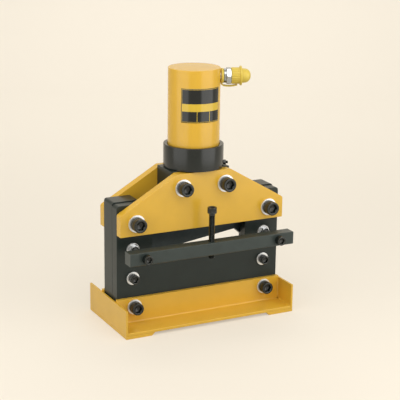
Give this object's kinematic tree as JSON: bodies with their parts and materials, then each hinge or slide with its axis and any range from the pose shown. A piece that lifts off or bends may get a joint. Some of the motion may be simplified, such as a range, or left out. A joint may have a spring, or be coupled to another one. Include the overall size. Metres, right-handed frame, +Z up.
{
  "type": "busbar cutting machine",
  "caption": "Hydraulic bench shear for flat busbar: yellow cylinder on cheek plates over a black guillotine frame, hold-down bar in front, low yellow base.",
  "frame": {"origin": "on the ground, below the middle of the machine's bounding box; the cylinder's axis stands 8.5 mm behind it", "axes": "+X along the busbar slot to the right as seen from the hold-down bar's side, +Y to the rear, +Z up along the cylinder"},
  "size_m": [0.365, 0.197, 0.497],
  "materials": {
    "yellow_paint": "satin enamel over steel plate",
    "black_frame_finish": "blackened, ground steel plate",
    "black_oxide": "black oxide, oiled",
    "zinc_plate": "bright zinc plate",
    "tool_steel": "ground tool steel, darkened",
    "machined_steel": "machined",
    "hard_chrome": "hard chrome, ground",
    "seal_rubber": "moulded",
    "cap_plastic": "soft moulded plastic",
    "label_film": "printed film, left plain"
  },
  "bodies": {
    "machine": {"base_floor_plate": "yellow_paint", "base_foot_rails": "yellow_paint", "base_end_plate_left": "yellow_paint", "base_end_plate_right": "yellow_paint", "base_front_wall": "yellow_paint", "base_rear_wall": "yellow_paint", "frame_front_layer": "black_frame_finish", "frame_rear_layer": "black_frame_finish", "fixed_blade": "tool_steel", "fixed_blade_screws": "black_oxide", "front_cheek_plate": "yellow_paint", "rear_cheek_plate": "yellow_paint", "cheek_bolts": "black_oxide", "cheek_washers": "zinc_plate", "cheek_nuts": "black_oxide", "base_bolts": "black_oxide", "base_washers": "zinc_plate", "base_nuts": "black_oxide", "frame_bolts": "black_oxide", "frame_washers": "zinc_plate", "head_block": "black_frame_finish", "rod_gland": "machined_steel", "gland_seal": "seal_rubber", "mounting_collar": "black_oxide", "collar_lock_screw": "black_oxide", "collar_lock_nut": "black_oxide", "cylinder_barrel": "yellow_paint", "label_plate": "label_film", "port_adapter": "zinc_plate", "coupler_half": "zinc_plate", "cap_strap": "cap_plastic", "hold_down_bar": "black_frame_finish", "bar_bolts": "black_oxide", "bar_washers": "zinc_plate", "bar_nuts": "zinc_plate"},
    "ram": {"piston": "machined_steel", "piston_seal": "seal_rubber", "ram_rod": "hard_chrome", "piston_nut": "machined_steel", "return_spring": "machined_steel", "blade_holder": "black_frame_finish", "holder_pin": "machined_steel", "moving_blade": "tool_steel", "moving_blade_screws": "black_oxide"},
    "hold_down": {"hold_down_screw": "black_oxide"},
    "cap": {"dust_cap": "cap_plastic"}
  },
  "joints": [
    {"name": "blade_stroke", "type": "slide", "parent": "machine", "child": "ram", "axis": [0, 0, -1], "range_m": [0, 0.045], "stiffness_N_per_m": 5600, "springref_m": -0.045, "deforming": ["return_spring"]},
    {"name": "hold_down_travel", "type": "slide", "parent": "machine", "child": "hold_down", "axis": [0, 0, 1], "range_m": [-0.0555, 0.009]},
    {"name": "cap_pull_off", "type": "slide", "parent": "machine", "child": "cap", "axis": [0.9272, -0.3746, 0], "range_m": [0, 0.03]}
  ]
}
